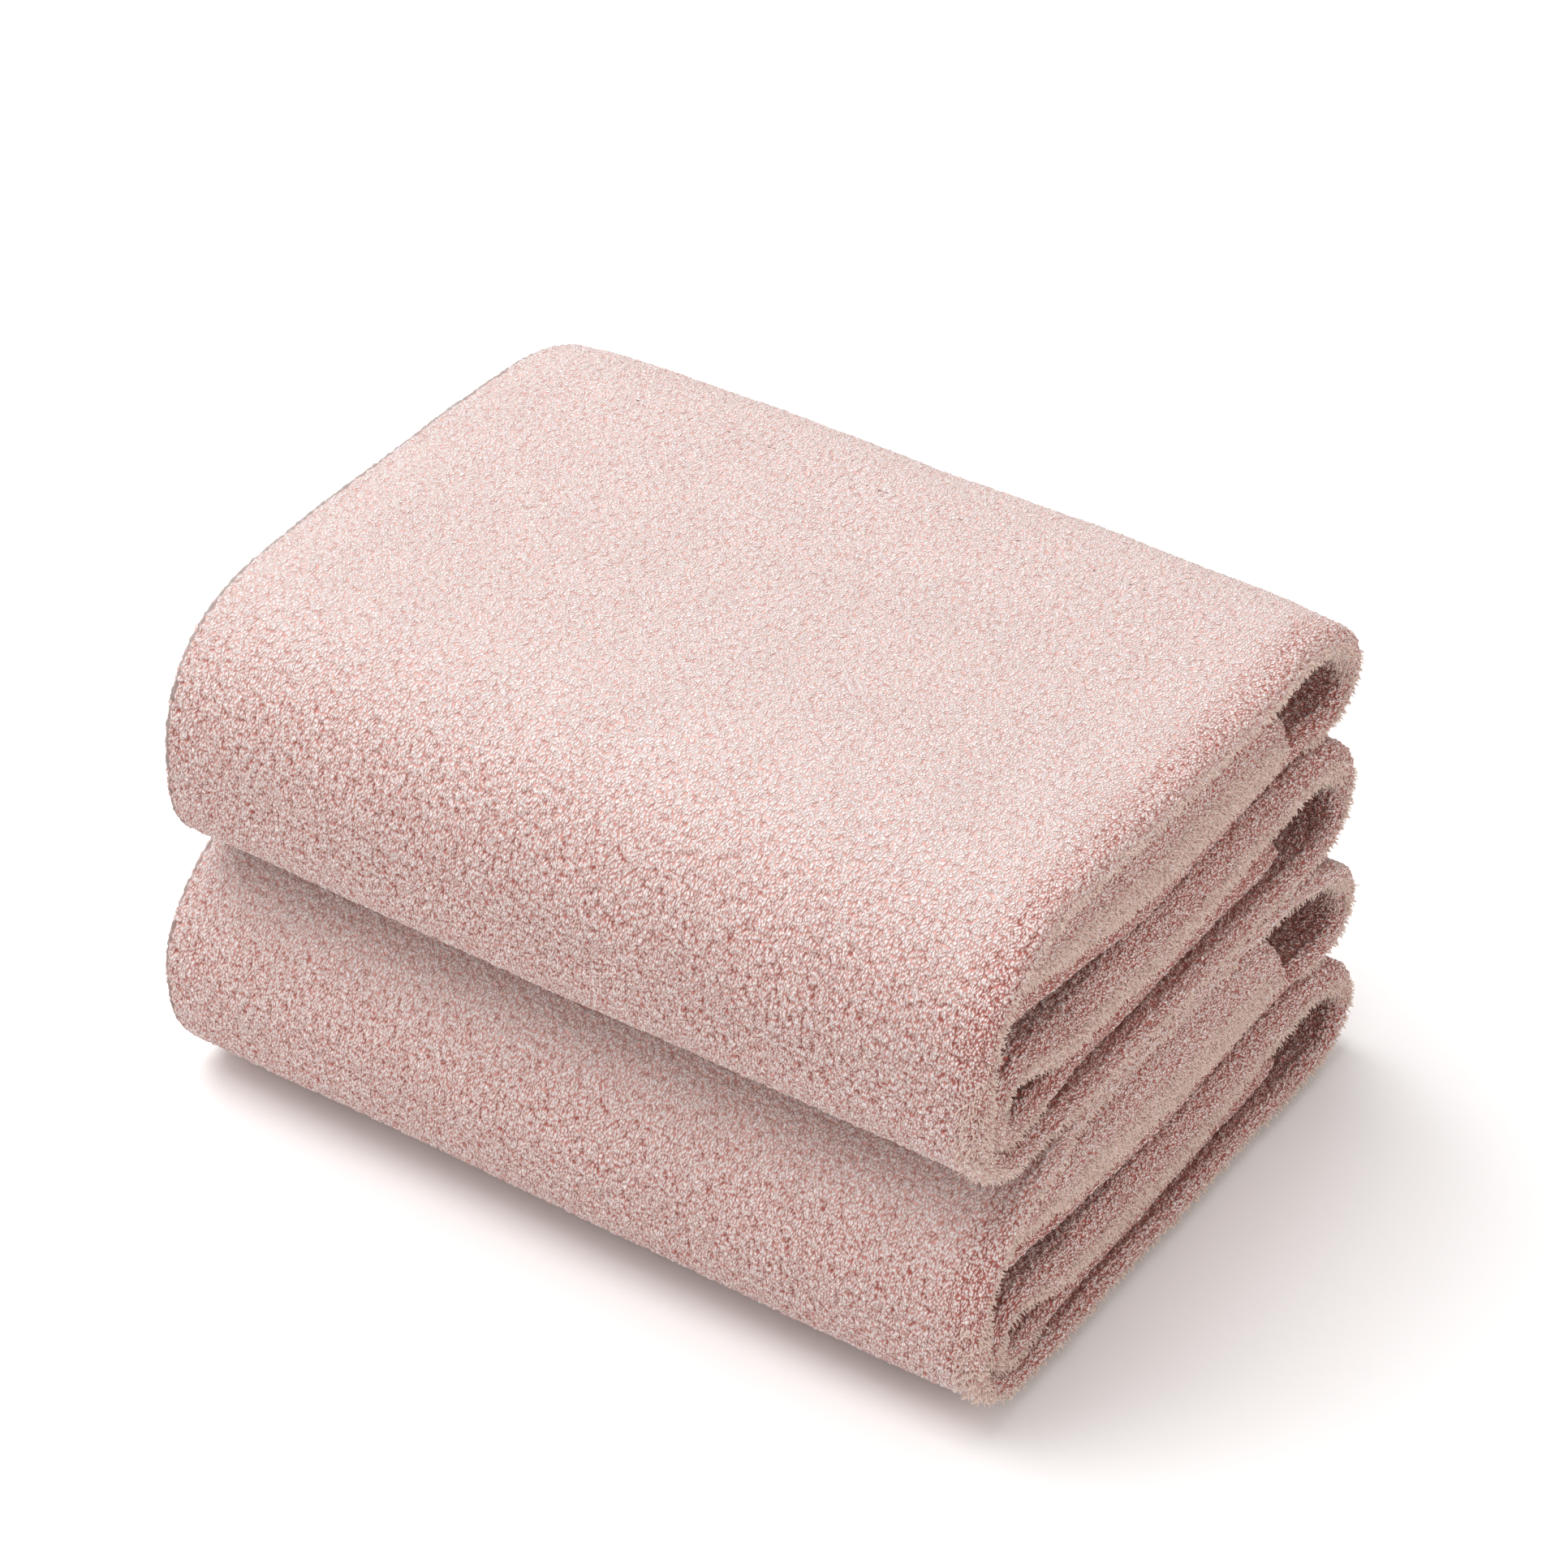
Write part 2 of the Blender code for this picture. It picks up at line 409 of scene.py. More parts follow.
def graded(length, fine_start, fine_end, fine, coarse):
    """Places from 0 to 1 along a face, fine near its two ends and coarse between."""
    if fine_start + fine_end >= length:
        return np.linspace(0, 1, max(2, round(length / fine)) + 1)
    first = np.linspace(0, fine_start, max(2, round(fine_start / fine)), endpoint=False)
    gap = length - fine_start - fine_end
    middle = np.linspace(fine_start, length - fine_end, max(2, round(gap / coarse)), endpoint=False)
    last = np.linspace(length - fine_end, length, max(2, round(fine_end / fine)) + 1)
    return np.concatenate([first, middle, last]) / length


def cross_section(length, front_spacing, back_spacing):
    """The loop round both plies as (side, place) pairs: which stretch, and how far along it."""
    front = graded(length, SELVEDGE_MARGIN, NOSE_MARGIN, FINE, front_spacing)[:-1]
    back = 1 - graded(length, SELVEDGE_MARGIN, NOSE_MARGIN, FINE, back_spacing)[::-1][:-1]
    nose = np.linspace(0, 1, NOSE_STEPS, endpoint=False)
    edge = np.linspace(0, 1, EDGE_STEPS, endpoint=False)
    stretches = [
        (OUTER_FACE, front),
        (NOSE, nose),
        (INNER_FACE, back),
        (INNER_EDGE, edge),
        (INNER_SLIT, edge),
        (OUTER_SLIT, edge),
        (OUTER_EDGE, edge),
    ]
    side = np.concatenate([np.full(len(places), number) for number, places in stretches])
    place = np.concatenate([places for _, places in stretches])
    return side, place


def wander(s, x, seed, scale):
    """Slow, smooth variation from -1 to 1, from a few sines of unrelated lengths."""
    rng = np.random.default_rng(seed)
    total = 0.0
    for share in WAVE_SHARES:
        angle = rng.uniform(0, 2 * math.pi)
        wave = scale * share * rng.uniform(0.8, 1.25)
        phase = rng.uniform(0, 2 * math.pi)
        along = math.cos(angle) * s + math.sin(angle) * x
        total = total + share * np.sin(2 * math.pi * along / wave + phase)
    return total / sum(WAVE_SHARES)


def loop_points(line, side, place, towel, seed):
    """x and n of every vertex (rows by columns), with n measured along the strip's normal."""
    rows, columns = len(line["s"]), len(side)
    half = line["half"][:, None]
    s = line["s"][:, None]
    nose_x = towel.half_length - line["inset"][:, None] - NOSE_WAVER * (1 + wander(s, 0, seed, 0.11))
    bulge = BULGE_SHARE * half + BULGE_ALL
    nose_centre = nose_x - bulge
    towards_back = smooth_step(line["y"], towel.front + SKEW_START, towel.back)[:, None]
    ragged = SELVEDGE_WAVER * (1 + wander(s, 0, seed + 1, 0.16)) + SELVEDGE_SKEW * towards_back
    front_start = -towel.half_length + line["inset"][:, None] * 0.5 + ragged
    back_start = -towel.half_length + line["inset"][:, None] * 0.8 + 1.2 * ragged
    ply = (half - PLY_SLIT) / 2
    middle = (half + PLY_SLIT) / 2
    x = np.zeros((rows, columns))
    n = np.zeros((rows, columns))
    t = place[None, :]

    def put(number, x_value, n_value):
        chosen = side == number
        x[:, chosen] = np.broadcast_to(x_value, (rows, columns))[:, chosen]
        n[:, chosen] = np.broadcast_to(n_value, (rows, columns))[:, chosen]

    front_edge, back_edge = front_start + ply, back_start + ply
    angle = math.pi / 2 - math.pi * t
    swing = math.pi * t
    slit_end = nose_centre - PLY_SLIT
    put(OUTER_FACE, front_edge + (nose_centre - front_edge) * t, half)
    put(NOSE, nose_centre + bulge * np.cos(angle), half * np.sin(angle))
    put(INNER_FACE, nose_centre + (back_edge - nose_centre) * t, -half)
    put(INNER_EDGE, back_edge - ply * np.sin(swing), -middle - ply * np.cos(swing))
    put(INNER_SLIT, back_edge + (slit_end - back_edge) * t, -PLY_SLIT)
    put(OUTER_SLIT, slit_end + (front_edge - slit_end) * t, PLY_SLIT)
    put(OUTER_EDGE, front_edge - ply * np.sin(swing), middle - ply * np.cos(swing))
    return x, n


def close_free_end(line, n, away):
    """Rounds the strip off at its free end. away is each row's distance from that end."""
    share = np.sqrt(1 - (1 - np.clip(away / line["half"].max(), 0, 1)) ** 2)[:, None]
    return n * (END_BLUNTNESS + (1 - END_BLUNTNESS) * share)


def settle(x, y, z, towel, seed):
    """The softness of the whole block: a crown, drooping ends, a swelling front and slight waves."""
    rise = np.clip((z - towel.bottom) / towel.height, 0, 1)
    across = x / towel.half_length
    depth = (y - (towel.front + towel.back) / 2) / ((towel.back - towel.front) / 2)
    dome = (1 - np.abs(across) ** 3.0) * (1 - np.clip(np.abs(depth), 0, 1) ** 2.5)
    end_droop = smooth_step(np.abs(across), 0.80, 1.0)
    waves = wander(y, x, seed, 0.17) * rise
    crown = TOP_CROWN * (dome - end_droop) if towel.name == "upper" else 0
    sinking = SELVEDGE_DROOP * smooth_step(-across, 0.35, 1.1) if towel.name == "upper" else 0
    z = z + rise * (crown - sinking) + TOP_WAVES * waves * rise
    front_swell = smooth_step(-depth, 0.4, 1.0) * (1 - across**2)
    y = y - FRONT_SWELL * front_swell * np.sin(math.pi * rise)
    y = y + SIDE_WAVES * wander(z * 2, x, seed + 3, 0.19)
    return x * towel.spread, y * towel.spread, z


def grid_normals(points):
    """Outward unit normals of a grid of points that closes on itself across its columns."""
    down = np.gradient(points, axis=0)
    across = np.roll(points, -1, axis=1) - np.roll(points, 1, axis=1)
    normal = np.cross(down, across)
    length = np.linalg.norm(normal, axis=2, keepdims=True)
    return normal / np.maximum(length, TINY)


def tufts(u, s):
    """Height of the pile from 0 to 1 and each tuft's own number, at places on the cloth."""
    rng = np.random.default_rng(TUFT_SEED)
    table = rng.random((TUFT_TABLE, TUFT_TABLE, 4))
    cell_u, cell_s = np.floor(u / TUFT_PITCH), np.floor(s / TUFT_PITCH)
    best = np.full(u.shape, np.inf)
    own = np.zeros(u.shape)
    for step_u in (-1, 0, 1):
        for step_s in (-1, 0, 1):
            i, j = cell_u + step_u, cell_s + step_s
            drawn = table[i.astype(int) % TUFT_TABLE, j.astype(int) % TUFT_TABLE]
            away_u = u / TUFT_PITCH - (i + 0.5 + TUFT_SCATTER * (drawn[..., 0] - 0.5))
            away_s = s / TUFT_PITCH - (j + 0.5 + TUFT_SCATTER * (drawn[..., 1] - 0.5))
            turned = (drawn[..., 2] - 0.5) * TUFT_TURNS + TUFT_TURNED
            along = away_u * np.cos(turned) + away_s * np.sin(turned)
            beside = away_s * np.cos(turned) - away_u * np.sin(turned)
            distance = (along / TUFT_LENGTHEN) ** 2 + (beside / TUFT_NARROW) ** 2
            nearer = distance < best
            best = np.where(nearer, distance, best)
            own = np.where(nearer, drawn[..., 3], own)
    return np.clip(1 - best / TUFT_REACH, 0, 1), own


def nose_near(side, place):
    """How far each column is from the nose, as a share of the strip's width."""
    away = np.ones(len(side))
    away[side == OUTER_FACE] = 1 - place[side == OUTER_FACE]
    away[side == NOSE] = 0
    away[side == INNER_FACE] = place[side == INNER_FACE]
    return away


def across_length(x, n):
    """Distance along each row's loop, so that the pile runs on round the nose."""
    step = np.hypot(np.diff(x, axis=1), np.diff(n, axis=1))
    return np.concatenate([np.zeros((len(x), 1)), np.cumsum(step, axis=1)], axis=1)


def end_cap(row, side, place_along):
    """Triangles that close both plies at one end of a piece, between their outer and inner faces."""
    outer = np.flatnonzero(side <= INNER_FACE)
    inner = np.flatnonzero(side > INNER_FACE)[::-1]
    outer_share = (place_along[outer] - place_along[outer[0]]) / np.ptp(place_along[outer])
    inner_share = (place_along[inner[0]] - place_along[inner]) / np.ptp(place_along[inner])
    triangles = []
    i = j = 0
    while i < len(outer) - 1 or j < len(inner) - 1:
        next_outer = outer_share[i + 1] if i < len(outer) - 1 else 2.0
        next_inner = inner_share[j + 1] if j < len(inner) - 1 else 2.0
        if next_outer <= next_inner:
            triangles.append((row[outer[i]], row[outer[i + 1]], row[inner[j]]))
            i += 1
        else:
            triangles.append((row[outer[i]], row[inner[j + 1]], row[inner[j]]))
            j += 1
    return np.array(triangles)


def mesh_from(name, points, corners, sizes, smooth):
    """A mesh from its points, the point at each face corner and each face's number of corners."""
    starts = np.concatenate([[0], np.cumsum(sizes)[:-1]])
    mesh = bpy.data.meshes.new(name)
    mesh.vertices.add(len(points))
    mesh.vertices.foreach_set("co", points.reshape(-1).astype(np.float32))
    mesh.loops.add(len(corners))
    mesh.loops.foreach_set("vertex_index", corners.astype(np.int32))
    mesh.polygons.add(len(sizes))
    mesh.polygons.foreach_set("loop_start", starts.astype(np.int32))
    mesh.update(calc_edges=True)
    mesh.polygons.foreach_set("use_smooth", smooth)
    return mesh


def add_object(name, mesh, material):
    mesh.materials.append(material)
    placed = bpy.data.objects.new(name, mesh)
    bpy.context.scene.collection.objects.link(placed)
    return placed


def cloth_mesh(name, points, side, place_along, attributes, uv):
    """A closed mesh from a grid of points, with float attributes and a UV map."""
    rows, columns = points.shape[:2]
    index = np.arange(rows * columns).reshape(rows, columns)
    right = np.roll(index, -1, axis=1)
    quads = np.stack([index[:-1], index[1:], right[1:], right[:-1]], axis=-1).reshape(-1, 4)
    first = end_cap(index[0], side, place_along[0])
    last = end_cap(index[-1], side, place_along[-1])[:, ::-1]
    corners = np.concatenate([quads.reshape(-1), first.reshape(-1), last.reshape(-1)])
    sizes = np.concatenate([np.full(len(quads), 4), np.full(len(first) + len(last), 3)])
    mesh = mesh_from(name, points.reshape(-1, 3), corners, sizes, sizes == 4)
    for key, values in attributes.items():
        layer = mesh.attributes.new(key, "FLOAT", "POINT")
        layer.data.foreach_set("value", values.reshape(-1).astype(np.float32))
    layer = mesh.uv_layers.new(name="cloth")
    layer.data.foreach_set("uv", uv.reshape(-1, 2)[corners].reshape(-1).astype(np.float32))
    mesh.validate()
    return mesh


def tucked_end(line, x, n, towel, free_end):
    """The strip rounded off at its free end, and how far back and up the cloth near it lies."""
    away = line["s"] - line["s"][0] if free_end == "start" else line["s"][-1] - line["s"]
    n = close_free_end(line, n, away)
    mid_length = 1 - (x / towel.half_length) ** 2
    near_end = (1 - smooth_step(away, 0, TUCK_REACH))[:, None]
    reach_back = TUCKED_DEEPER * mid_length * near_end
    if free_end == "end":
        return n, reach_back, TUCKED_HIGHER * mid_length * near_end
    in_roll = smooth_step(towel.front + ROLL_REACH - line["y"], 0, ROLL_REACH / 2)[:, None]
    return n, reach_back - FOLD_FORWARD * mid_length * in_roll, 0.0


def pile_state(line, side, place, normal):
    """How deep the pile's relief is and how far the pile stands open, at every vertex, with painted shade
    inside the folds, in the recesses and on the noses, and a painted sheen on the noses' lower halves.
    """
    depth = line["depth"][:, None] * np.ones(normal.shape[:2])
    on_nose = smooth_step(NOSE_SHARE - nose_near(side, place), 0, NOSE_SHARE)[None, :]
    depth = depth + NOSE_DEEPER * (1 - depth) * on_nose
    inside = (side == INNER_FACE)[None, :]
    recessed = line["recessed"][:, None]
    # painted sheen: cloth on the noses that faces down is painted paler
    painted_sheen_mask = smooth_step(-normal[..., 2], -0.35, 0.75) * (1 - recessed)
    # painted shade: the inner faces and the noses are painted deeper
    turned = 1 + INSIDE_PAINTED_SHADE * inside + on_nose * (NOSE_PAINTED_SHADE - NOSE_PAINTED_SHEEN * painted_sheen_mask)
    # painted shade: the recessed panels are painted deeper
    return depth, depth * FACE_OPEN * turned * (1 + RECESS_PAINTED_SHADE * recessed)


def raised(points, normal, height, depth, side):
    """The points moved out into tufts that lean along the strip, except between the plies."""
    shown = ((side != INNER_SLIT) & (side != OUTER_SLIT))[None, :]
    lean = np.gradient(points, axis=0)
    lean /= np.maximum(np.linalg.norm(lean, axis=2, keepdims=True), TINY)
    points = points + normal * ((height - TUFT_SUNK) * depth * TUFT_HEIGHT * shown)[..., None]
    return points + lean * (height * depth * TUFT_LEAN * shown)[..., None]


def cloth_piece(name, line, kept, towel, spacings, materials, free_end=None):
    """One stretch of a towel's strip as a mesh object, and its fringe as another.

    kept picks the stretch's own rows from line, which holds a row more at each end that joins
    the next stretch, so that normals agree there.
    """
    seed = 40 if towel.name == "lower" else 60
    plush, loose_tufts = materials
    side, place = cross_section(2 * towel.half_length, *spacings)
    x, n = loop_points(line, side, place, towel, seed)
    reach_back = lift = 0.0
    if free_end is not None:
        n, reach_back, lift = tucked_end(line, x, n, towel, free_end)
    y = line["y"][:, None] + line["ny"][:, None] * n + reach_back
    z = line["z"][:, None] + line["nz"][:, None] * n + lift + towel.bottom
    x, y, z = settle(x, y, z, towel, seed + 5)
    points = np.stack([x, y, z], axis=-1)
    normal = grid_normals(points)
    u = across_length(x, n)
    s = np.broadcast_to(line["s"][:, None], u.shape)
    dome, own = tufts(u, s)
    height = dome * (TUFT_SHORTEST + TUFT_VARIES * own)
    depth, openness_and_painted_light = pile_state(line, side, place, normal)
    points = raised(points, normal, height, depth, side)
    shading = grid_normals(points)[kept]
    points, normal, u, s = points[kept], normal[kept], u[kept], s[kept]
    # the openness attribute carries painted shade and a painted sheen into the colour
    attributes = {"pile": height[kept], "openness_and_painted_light": openness_and_painted_light[kept]}
    mesh = cloth_mesh(name, points, side, u, attributes, np.stack([u, s], axis=-1))
    mesh.normals_split_custom_set_from_vertices(shading.reshape(-1, 3))
    piece = add_object(name, mesh, plush)
    near = (nose_near(side, place) < FRINGE_REACH)[None, :] & (line["recessed"][kept, None] < 0.5)
    near = near & (normal[..., 2] > FRINGE_LOWEST) & (normal[..., 2] < FRINGE_HIGHEST)
    roots, directions = scattered(points, normal, near, FRINGE_AREA, seed + 9)
    fringe = add_object(f"{name}_fringe", fringe_mesh(name, roots, directions, seed + 10), loose_tufts)
    return piece, fringe


def scattered(points, normals, chosen, area_each, seed):
    """Points and normals picked at random from a grid, one for each area_each of the chosen cells."""
    down = np.linalg.norm(np.gradient(points, axis=0), axis=2)
    across = np.linalg.norm((np.roll(points, -1, axis=1) - np.roll(points, 1, axis=1)) / 2, axis=2)
    area = down * across * chosen
    rng = np.random.default_rng(seed)
    picked = rng.random(area.shape) < area / area_each
    jitter = rng.normal(scale=FRINGE_JITTER, size=(int(picked.sum()), 3))
    return points[picked] + jitter, normals[picked]


def tuft_faces():
    """The faces of one loose tuft: its foot, the sides between its rings and its pointed top."""
    faces = [tuple(reversed(range(FRINGE_SIDES)))]
    for ring in range(len(FRINGE_RINGS) - 1):
        for corner in range(FRINGE_SIDES):
            following = (corner + 1) % FRINGE_SIDES
            low = FRINGE_SIDES * ring
            high = low + FRINGE_SIDES
            faces.append((low + corner, low + following, high + following, high + corner))
    last = FRINGE_SIDES * (len(FRINGE_RINGS) - 1)
    tip = last + FRINGE_SIDES
    for corner in range(FRINGE_SIDES):
        faces.append((last + corner, last + (corner + 1) % FRINGE_SIDES, tip))
    return faces


def fringe_mesh(name, roots, normals, seed):
    """Loose tufts that stand off the cloth, each a bent, three-sided, pointed tube."""
    rng = np.random.default_rng(seed)
    count = len(roots)
    length = rng.uniform(*FRINGE_LENGTH, count)[:, None]
    aside = rng.normal(size=(count, 3))
    across = np.cross(normals, aside)
    across /= np.linalg.norm(across, axis=1, keepdims=True)
    other = np.cross(normals, across)
    sag = np.array([0, 0, -FRINGE_SAG])
    bend = FRINGE_BEND * across * rng.uniform(-1, 1, (count, 1)) + sag
    rings = []
    for place, thickness in FRINGE_RINGS:
        centre = roots + length * (normals * (place - FRINGE_ROOT) + bend * place**2)
        radius = thickness * FRINGE_RADIUS
        for corner in range(FRINGE_SIDES):
            angle = 2 * math.pi * corner / FRINGE_SIDES
            rings.append(centre + radius * (across * math.cos(angle) + other * math.sin(angle)))
    rings.append(roots + length * (normals * (1 - FRINGE_ROOT) + bend))
    vertices = np.stack(rings, axis=1)
    faces = tuft_faces()
    flat = np.array([index for face in faces for index in face])
    corners = (np.arange(count)[:, None] * vertices.shape[1] + flat[None, :]).reshape(-1)
    sizes = np.tile([len(face) for face in faces], count)
    smooth = np.ones(len(sizes), dtype=bool)
    mesh = mesh_from(f"{name}_fringe", vertices.reshape(-1, 3), corners, sizes, smooth)
    mesh.validate()
    return mesh


def node_at(tree, kind, x, y):
    node = tree.nodes.new(kind)
    node.location = (x, y)
    return node


def set_fibre_gloss(shader, sheen, tint):
    """The dull shine of cotton fibres that stand up."""
    shader.inputs["Metallic"].default_value = 0.0
    shader.inputs["Specular IOR Level"].default_value = PILE_SPECULAR
    shader.inputs["Sheen Weight"].default_value = sheen
    shader.inputs["Sheen Roughness"].default_value = SHEEN_ROUGHNESS
    shader.inputs["Sheen Tint"].default_value = (*tint, 1)


def add_noise(tree, cloth, size, x, y, detail=None):
    """A flat noise over the cloth, with features about size across."""
    noise = node_at(tree, "ShaderNodeTexNoise", x, y)
    noise.noise_dimensions = "2D"
    noise.inputs["Scale"].default_value = 1 / size
    if detail is not None:
        noise.inputs["Detail"].default_value = detail
    tree.links.new(cloth.outputs["UV"], noise.inputs["Vector"])
    return noise


def add_range(tree, source, low, high, x, y):
    """A value from 0 to 1 spread between low and high."""
    spread = node_at(tree, "ShaderNodeMapRange", x, y)
    spread.inputs["To Min"].default_value = low
    spread.inputs["To Max"].default_value = high
    tree.links.new(source, spread.inputs["Value"])
    return spread


def loop_crests(tree, cloth):
    """How high each single loop stands, from 0 between loops to 1 on top of one."""
    curl = add_noise(tree, cloth, CURL_LENGTH, -2100, -200)
    curled = node_at(tree, "ShaderNodeVectorMath", -1900, 0)
    curled.operation = "MULTIPLY_ADD"
    curled.inputs[1].default_value = (CURL_SWING, CURL_SWING, 0)
    tree.links.new(curl.outputs["Color"], curled.inputs[0])
    tree.links.new(cloth.outputs["UV"], curled.inputs[2])
    lay = node_at(tree, "ShaderNodeVectorMath", -1850, -250)
    lay.operation = "MULTIPLY"
    lay.inputs[1].default_value = LOOP_LAY
    tree.links.new(curled.outputs["Vector"], lay.inputs[0])
    loops = node_at(tree, "ShaderNodeTexVoronoi", -1700, 0)
    loops.voronoi_dimensions = "2D"
    loops.inputs["Scale"].default_value = 1 / LOOP_PITCH
    loops.inputs["Randomness"].default_value = 0.9
    tree.links.new(lay.outputs["Vector"], loops.inputs["Vector"])
    crest = node_at(tree, "ShaderNodeMapRange", -1500, 0)
    crest.interpolation_type = "SMOOTHSTEP"
    crest.inputs["From Min"].default_value = 0.75
    crest.inputs["From Max"].default_value = 0.12
    tree.links.new(loops.outputs["Distance"], crest.inputs["Value"])
    return crest.outputs["Result"]


def pile_colour(tree, cloth, crest, deep, middle, tip):
    """Pale where tufts and loops stand high, deep between them and where the pile stands open, with painted
    shade and a painted sheen carried in by the openness attribute.
    """
    pile = node_at(tree, "ShaderNodeAttribute", -1500, 300)
    pile.attribute_name = "pile"
    openness_and_painted_light = node_at(tree, "ShaderNodeAttribute", -1500, 500)
    openness_and_painted_light.attribute_name = "openness_and_painted_light"
    height = node_at(tree, "ShaderNodeMix", -1250, 200)
    height.inputs["Factor"].default_value = LOOP_SHARE
    tree.links.new(pile.outputs["Fac"], height.inputs["A"])
    tree.links.new(crest, height.inputs["B"])
    sunk = node_at(tree, "ShaderNodeMath", -1050, 200)
    sunk.operation = "SUBTRACT"
    sunk.inputs[0].default_value = 1.0
    tree.links.new(height.outputs["Result"], sunk.inputs[1])
    depth = node_at(tree, "ShaderNodeMath", -850, 300)
    depth.operation = "MULTIPLY"
    tree.links.new(sunk.outputs["Value"], depth.inputs[0])
    tree.links.new(openness_and_painted_light.outputs["Fac"], depth.inputs[1])
    # the ramp's deep end is partly painted shade between the tufts
    ramp = node_at(tree, "ShaderNodeValToRGB", -650, 300)
    stops = ramp.color_ramp.elements
    stops[0].position, stops[0].color = 0.08, (*tip, 1)
    stops[1].position, stops[1].color = 0.98, (*deep, 1)
    stop = stops.new(0.50)
    stop.color = (*middle, 1)
    tree.links.new(depth.outputs["Value"], ramp.inputs["Fac"])

    patches = add_noise(tree, cloth, PATCH_SIZE, -900, -100, detail=4.0)
    shade = add_range(tree, patches.outputs["Fac"], *PATCH_SHADES, -650, -50)
    tinted = node_at(tree, "ShaderNodeVectorMath", -300, 200)
    tinted.operation = "SCALE"
    tree.links.new(ramp.outputs["Color"], tinted.inputs[0])
    tree.links.new(shade.outputs["Result"], tinted.inputs["Scale"])
    return tinted.outputs["Vector"]


def pile_bump(tree, crest, fibres):
    """Relief of the single loops and of the fibres on them."""
    relief = node_at(tree, "ShaderNodeMath", -1050, -300)
    relief.operation = "MULTIPLY_ADD"
    relief.inputs[1].default_value = FIBRE_RELIEF
    tree.links.new(fibres.outputs["Fac"], relief.inputs[0])
    tree.links.new(crest, relief.inputs[2])
    bump = node_at(tree, "ShaderNodeBump", -300, -350)
    bump.inputs["Strength"].default_value = 0.85
    bump.inputs["Distance"].default_value = LOOP_HEIGHT
    tree.links.new(relief.outputs["Value"], bump.inputs["Height"])
    return bump.outputs["Normal"]


def plush_material(name, deep, middle, tip):
    """Dyed plush: deep colour between the tufts, partly painted shade, pale tips, fine curled fibres and
    sheen.
    """
    material = bpy.data.materials.new(name)
    material.use_nodes = True
    tree = material.node_tree
    shader = tree.nodes["Principled BSDF"]
    set_fibre_gloss(shader, sheen=0.6, tint=(1.0, 0.93, 0.86))
    cloth = node_at(tree, "ShaderNodeUVMap", -2300, 0)
    cloth.uv_map = "cloth"
    crest = loop_crests(tree, cloth)
    colour = pile_colour(tree, cloth, crest, deep, middle, tip)
    fibres = add_noise(tree, cloth, FIBRE_WIDTH, -1250, -400, detail=2.0)
    rough = add_range(tree, fibres.outputs["Fac"], *PILE_ROUGHNESS, -500, -200)
    tree.links.new(colour, shader.inputs["Base Color"])
    tree.links.new(rough.outputs["Result"], shader.inputs["Roughness"])
    tree.links.new(pile_bump(tree, crest, fibres), shader.inputs["Normal"])
    return material


def plain_material(name, colour):
    material = bpy.data.materials.new(name)
    material.use_nodes = True
    shader = material.node_tree.nodes["Principled BSDF"]
    shader.inputs["Base Color"].default_value = (*colour, 1)
    shader.inputs["Roughness"].default_value = 0.9
    return material


def fringe_material(name, colour):
    """The loose tufts' paler fibres, whose cream tint partly paints the sheen of lit fibre tips."""
    material = plain_material(name, colour)
    shader = material.node_tree.nodes["Principled BSDF"]
    set_fibre_gloss(shader, sheen=0.8, tint=(1.0, 0.93, 0.80))
    return material


def row_spacing(line, towel):
    """Fine rows where the cloth is seen, coarser ones where it lies on another surface."""
    label = line["label"]
    spacing = np.full(len(label), MEDIUM)
    spacing[label == "wrap"] = FINE
    spacing[(label == "flap_back") | (label == "base_back")] = FINE
    hidden = line["nz"] < -LEVEL
    if towel.name == "lower":
        hidden = hidden | (line["nz"] > LEVEL)
    spacing[hidden & (label == "wrap")] = 2 * FINE
    return spacing


def dress(towel, materials):
    """All of one towel's cloth: the tucked panels and back folds, with their fringes, ride with the towel's
    two halves, and the outer wrap stays fixed where it lies.
    """
    line = walk(towel_path(towel), PATH_STEP)
    label = line["label"]
    flap, base = f"{towel.name}_flap", f"{towel.name}_base"
    rows = rows_at(line, row_spacing(line, towel))
    fringes = {}

    def stretch(part, key, spacings, free_end=None):
        own = np.flatnonzero(label[rows] == key)
        first, last = own[0], min(own[-1] + 1, len(rows) - 1)
        with_next = np.arange(max(first - 1, 0), min(last + 2, len(rows)))
        kept = slice(first - with_next[0], last - with_next[0] + 1)
        name = f"{towel.name}_{part}"
        own_line = thinned(line, rows[with_next])
        piece, fringe = cloth_piece(name, own_line, kept, towel, spacings, materials, free_end)
        fringes[piece.name] = fringe
        return piece

    wrap = stretch("outer_wrap", "wrap", (FINE, COARSE))
    flap_tuck = stretch("flap_tucked_panels", "flap_tuck", (COARSE, COARSE), "start")
    base_tuck = stretch("base_tucked_panels", "base_tuck", (COARSE, COARSE), "end")
    flap_back = stretch("flap_back_fold_cloth", "flap_back", (FINE, COARSE))
    base_back = stretch("base_back_fold_cloth", "base_back", (FINE, COARSE))

    for piece, body in ((flap_tuck, flap), (flap_back, flap), (base_tuck, base), (base_back, base)):
        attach(piece, body)
        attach(fringes[piece.name], body)
    for piece in (wrap, fringes[wrap.name]):
        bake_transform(piece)
    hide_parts(f"{towel.name}_base_outer_panel", f"{towel.name}_flap_outer_panel")
    for half, tuck, fold in ((flap, flap_tuck, flap_back), (base, base_tuck, base_back)):
        names = [f"{half}_{part}" for part in ("inner_panel", "inner_fold", "end_panel", "end_hem")]
        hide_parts(*names)
        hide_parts(f"{half}_back_fold")


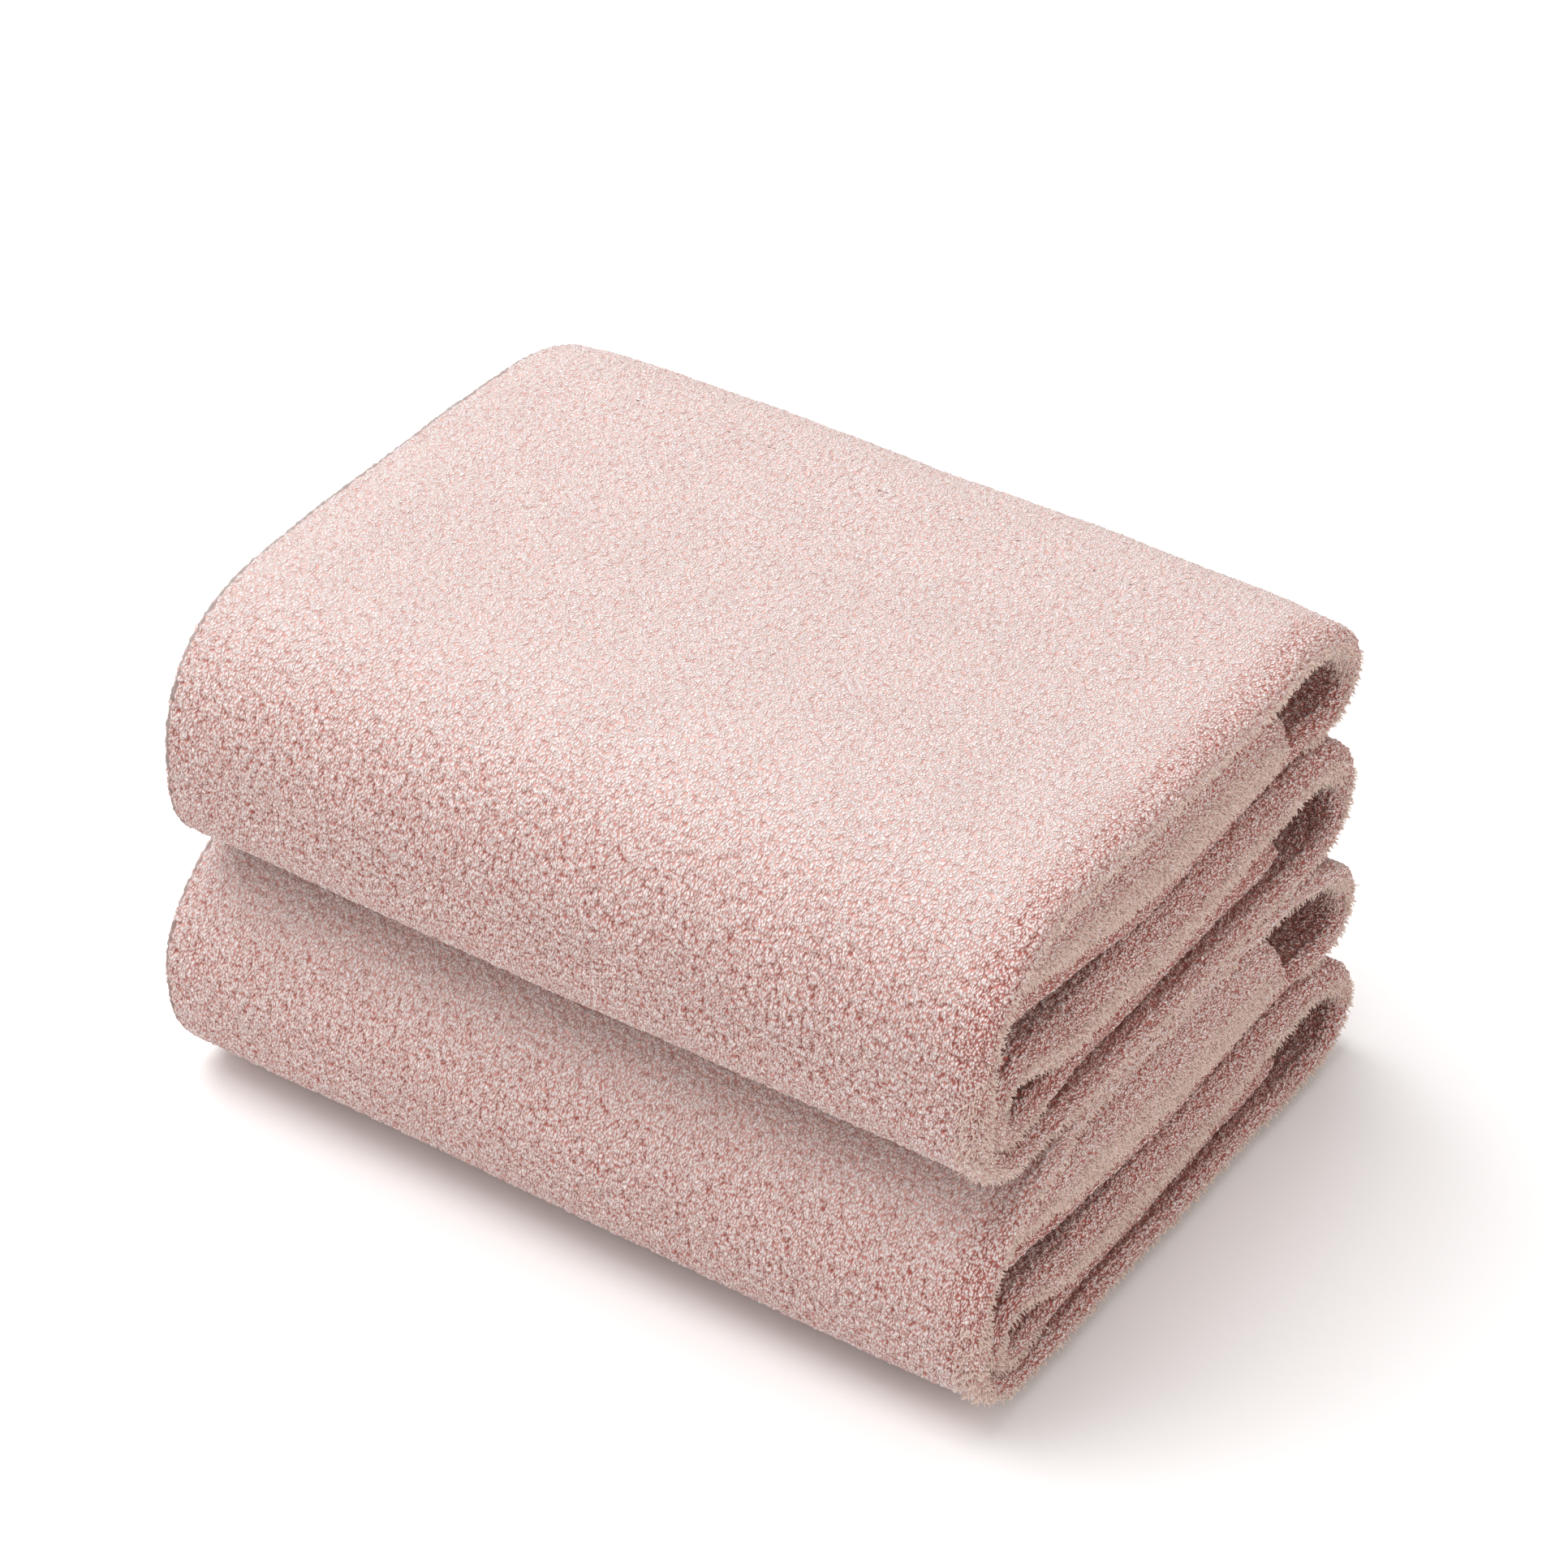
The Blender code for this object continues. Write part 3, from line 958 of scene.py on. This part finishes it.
def add_camera(aim, distance, azimuth_deg, elevation_deg, lens):
    """A camera that looks at aim from an azimuth counted from -Y towards +X."""
    azimuth, elevation = math.radians(azimuth_deg), math.radians(elevation_deg)
    east = math.sin(azimuth) * math.cos(elevation)
    north = -math.cos(azimuth) * math.cos(elevation)
    back = Vector((east, north, math.sin(elevation)))
    data = bpy.data.cameras.new("camera")
    data.lens = lens
    data.sensor_width = 36.0
    camera = bpy.data.objects.new("camera", data)
    camera.location = Vector(aim) + back * distance
    camera.rotation_euler = (-back).to_track_quat("-Z", "Y").to_euler()
    bpy.context.scene.collection.objects.link(camera)
    bpy.context.scene.camera = camera


def add_area_light(name, location, size, power, colour):
    data = bpy.data.lights.new(name, "AREA")
    data.shape = "RECTANGLE"
    data.size, data.size_y = size
    data.energy = power
    data.color = colour
    lamp = bpy.data.objects.new(name, data)
    lamp.location = location
    lamp.rotation_euler = (Vector(LIGHT_AIM) - Vector(location)).to_track_quat("-Z", "Y").to_euler()
    bpy.context.scene.collection.objects.link(lamp)


def add_floor(size, height):
    """A plain pale floor, large enough to fill the view."""
    mesh = bpy.data.meshes.new("floor")
    half = size / 2
    outline = [(-half, -half, height), (half, -half, height), (half, half, height), (-half, half, height)]
    mesh.from_pydata(outline, [], [(0, 1, 2, 3)])
    floor = add_object("floor", mesh, plain_material("floor", FLOOR_WHITE))


def light_world(colour, strength):
    world = bpy.data.worlds.new("studio")
    world.use_nodes = True
    background = world.node_tree.nodes["Background"]
    background.inputs["Color"].default_value = (*colour, 1)
    background.inputs["Strength"].default_value = strength
    bpy.context.scene.world = world


def corners(box):
    """A box's lowest and highest corners as plain lists."""
    low, high = box
    return [list(map(float, low)), list(map(float, high))]


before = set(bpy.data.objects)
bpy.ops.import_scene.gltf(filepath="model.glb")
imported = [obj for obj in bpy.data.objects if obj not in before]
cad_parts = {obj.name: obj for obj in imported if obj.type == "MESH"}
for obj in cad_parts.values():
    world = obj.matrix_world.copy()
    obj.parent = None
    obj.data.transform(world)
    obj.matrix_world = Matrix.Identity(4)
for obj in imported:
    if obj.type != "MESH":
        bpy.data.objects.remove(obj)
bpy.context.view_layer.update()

lower = Towel(
    "lower",
    loft=99 * MM,
    spread=1.026,
    cover=4.5,
    cover_inset=6,
    shoulder=28 * MM,
    heel=20 * MM,
    swell=0,
)
upper = Towel(
    "upper",
    loft=PROFILE_HEIGHT * MM,
    spread=1.0,
    cover=6.2,
    cover_inset=0,
    shoulder=45 * MM,
    heel=15 * MM,
    swell=3.5,
)
plush = plush_material("plush_pile", DEEP_PINK_AND_PAINTED_SHADE, MIDDLE_PINK, TIP_PINK)
loose_tufts = fringe_material("plush_fringe", FRINGE_PINK_AND_PAINTED_SHEEN)
for one in (lower, upper):
    dress(one, (plush, loose_tufts))

add_camera(
    aim=(0.0108, -0.0034, upper.bottom + 0.0390),
    distance=1.848,
    azimuth_deg=34.3,
    elevation_deg=37.42,
    lens=118.5,
)
add_floor(FLOOR_SIZE, lower.bottom - FLOOR_DROP)
light_world(WORLD_WHITE, WORLD_STRENGTH)
add_area_light("key", (-0.8, -0.1, 2.2), size=(2.4, 2.4), power=64.0, colour=(0.97, 0.985, 1.0))
add_area_light("fill", (-1.9, -1.6, 1.1), size=(2.0, 2.0), power=12.0, colour=(1.0, 0.93, 0.9))
add_area_light("side_fill", (2.1, -0.2, 0.5), size=(1.6, 1.2), power=13.0, colour=(1.0, 0.9, 0.83))
bpy.context.scene.view_settings.view_transform = "Standard"
